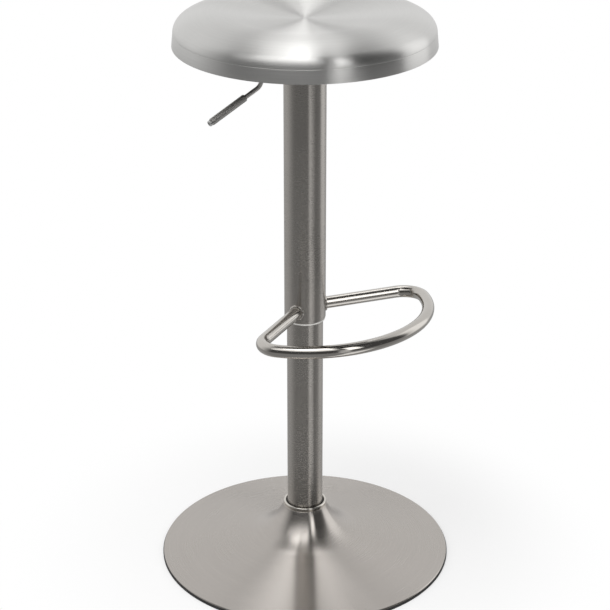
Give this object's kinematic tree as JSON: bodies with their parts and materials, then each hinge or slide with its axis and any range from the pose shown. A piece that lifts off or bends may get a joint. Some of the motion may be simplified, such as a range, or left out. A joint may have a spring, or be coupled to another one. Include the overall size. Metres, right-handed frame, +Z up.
{
  "type": "bar stool",
  "caption": "Height-adjustable stool with a dished round steel seat on a gas-lift post, a welded footrest bar, a height lever and a trumpet base.",
  "frame": {"origin": "on the floor, under the centre line of the post", "axes": "+Z up along the post, -Y the way the sitter faces and the footrest reaches, -X the sitter's right, where the height lever is"},
  "size_m": [0.4115, 0.4116, 0.8015],
  "materials": {
    "seat_steel": "circular brushed stainless steel, satin",
    "base_steel": "circular brushed stainless steel, satin",
    "post_steel": "fine brushed stainless steel, half gloss",
    "bar_steel": "polished stainless steel",
    "collar_steel": "polished",
    "lever_steel": "dark nickel, satin",
    "cap_steel": "polished",
    "grip_dark": "fine grained",
    "black_rubber": "matt",
    "ballast_iron": "rough, black paint",
    "black_paint": "satin black powder coat",
    "zinc_plate": "bright zinc",
    "bearing_steel": "ground",
    "pale_plastic": "smooth"
  },
  "bodies": {
    "base": {"floor_ring": "black_rubber", "base_shell": "base_steel", "base_hub": "black_paint", "hub_gussets": "black_paint", "ballast_ring": "ballast_iron", "ballast_studs": "zinc_plate", "ballast_washers": "zinc_plate", "ballast_nuts": "zinc_plate", "collar_seal": "black_rubber", "collar_ring": "collar_steel", "stand_tube": "post_steel", "tube_end_plate": "zinc_plate", "lower_race": "bearing_steel", "cylinder_guide": "pale_plastic"},
    "swivel": {"piston_rod": "bearing_steel", "rod_washer": "zinc_plate", "rod_clip": "zinc_plate", "upper_race": "bearing_steel", "bump_stop": "black_rubber", "piston": "pale_plastic", "piston_seal": "black_rubber"},
    "cage": {"ball_cage": "pale_plastic", "thrust_balls": "bearing_steel"},
    "lift": {"gas_cylinder": "black_paint", "cylinder_gland": "pale_plastic", "valve_body": "pale_plastic", "sleeve": "post_steel", "sleeve_bush": "pale_plastic", "sleeve_cap": "zinc_plate", "cap_screws": "zinc_plate", "footrest": "bar_steel", "footrest_welds": "bar_steel", "taper_socket": "black_paint", "mechanism_box": "black_paint", "pivot_bracket": "zinc_plate", "pivot_pin": "zinc_plate", "seat_shell": "seat_steel", "seat_pan": "black_paint", "weld_nuts": "zinc_plate", "seat_washers": "zinc_plate", "seat_bolts": "zinc_plate"},
    "release": {"release_pin": "cap_steel"},
    "lever": {"lever_rod": "lever_steel", "lever_grip": "grip_dark", "lever_end_cap": "cap_steel"}
  },
  "joints": [
    {"name": "seat_swivel", "type": "hinge", "parent": "base", "child": "swivel", "pos_m": [0, 0, 0.0226], "axis": [0, 0, 1], "continuous": true},
    {"name": "height_slide", "type": "slide", "parent": "swivel", "child": "lift", "axis": [0, 0, 1], "range_m": [-0.21, 0], "stiffness_N_per_m": 500, "springref_m": 0.6},
    {"name": "cage_turn", "type": "hinge", "parent": "base", "child": "cage", "pos_m": [0, 0, 0.0226], "axis": [0, 0, 1], "continuous": true},
    {"name": "lever_pull", "type": "hinge", "parent": "lift", "child": "lever", "pos_m": [-0.032, 0, 0.7626], "axis": [0, 1, 0], "range_deg": [0, 5.3], "stiffness_Nm_per_rad": 2, "springref_deg": -5.73},
    {"name": "release_press", "type": "slide", "parent": "lift", "child": "release", "axis": [0, 0, -1], "range_m": [0, 0.003]}
  ],
  "couplings": [
    {"joint": "cage_turn", "follows": "seat_swivel", "ratio": 0.5},
    {"joint": "release_press", "follows": "lever_pull", "m_per_rad": 0.032}
  ]
}
